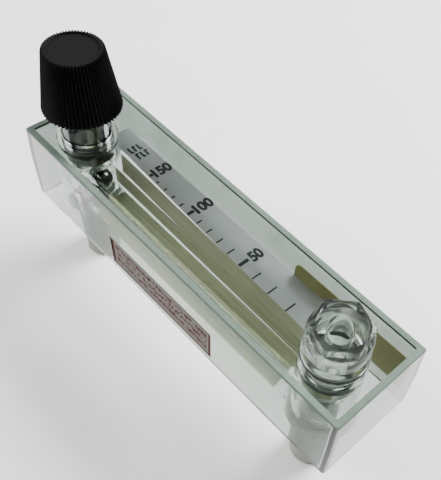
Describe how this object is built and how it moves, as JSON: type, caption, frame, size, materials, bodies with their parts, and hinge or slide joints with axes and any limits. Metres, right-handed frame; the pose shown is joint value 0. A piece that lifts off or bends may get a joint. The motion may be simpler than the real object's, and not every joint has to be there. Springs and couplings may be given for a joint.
{
  "type": "panel flowmeter with metering valve",
  "caption": "Clear-cased flowmeter: a float ball in a tapered bore shows gas flow beside a scale plate, and a fluted knob turns its needle valve.",
  "frame": {"origin": "centre of the bounding box, on the plane of the two rear fittings' open ends, on which the meter lies", "axes": "+Z out of the front face along the knob's axis, +Y along the body towards the knob, +X to the side where the scale plate lies"},
  "size_m": [0.0388, 0.15, 0.094],
  "materials": {
    "clear_acrylic": "clear, polished, faintly green",
    "clear_flow_body": "clear, polished, faintly green",
    "clear_fittings": "clear, polished, turned",
    "brushed_scale": "brushed, printed in black",
    "reflector_film": "striped lengthwise",
    "float_steel": "polished",
    "stop_plastic": "moulded",
    "seal_rubber": "lightly greased",
    "valve_brass": "turned",
    "stem_steel": "turned",
    "bonnet_steel": "turned, bright",
    "knob_plastic": "moulded black, dull",
    "port_plastic": "smooth",
    "side_label_print": "translucent film with a red border",
    "olive_tape": "plain tape"
  },
  "bodies": {
    "body": {"case_shell": "clear_acrylic", "flow_body": "clear_flow_body", "scale_plate": "brushed_scale", "reflector_strip": "reflector_film", "upper_float_stop": "stop_plastic", "lower_float_stop": "stop_plastic", "valve_bonnet": "bonnet_steel", "bonnet_oring_upper": "seal_rubber", "bonnet_oring_lower": "seal_rubber", "gland_ring": "valve_brass", "valve_seat": "valve_brass", "plug_body": "clear_fittings", "plug_face_oring": "seal_rubber", "plug_shank_oring": "seal_rubber", "inlet_fitting": "port_plastic", "outlet_fitting": "port_plastic", "side_label": "side_label_print", "edge_tape": "olive_tape", "inlet_fitting_oring": "seal_rubber", "outlet_fitting_oring": "seal_rubber"},
    "float": {"float_ball": "float_steel"},
    "stem_seal": {"stem_oring": "seal_rubber"},
    "spindle": {"valve_stem": "stem_steel", "knob": "knob_plastic", "knob_insert": "valve_brass", "knob_set_screw": "stem_steel"}
  },
  "joints": [
    {"name": "float_travel", "type": "slide", "parent": "body", "child": "float", "axis": [0, 1, 0], "range_m": [-0.1014, 0.0003]},
    {"name": "spindle_travel", "type": "slide", "parent": "body", "child": "stem_seal", "axis": [0, 0, 1], "range_m": [-0.0016, 0.0016]},
    {"name": "spindle_turn", "type": "hinge", "parent": "stem_seal", "child": "spindle", "pos_m": [-0.0033, 0.0615, 0.061], "axis": [0, 0, 1], "range_deg": [-720, 720]}
  ],
  "couplings": [
    {"joint": "spindle_turn", "follows": "spindle_travel", "rad_per_m": 7854}
  ]
}
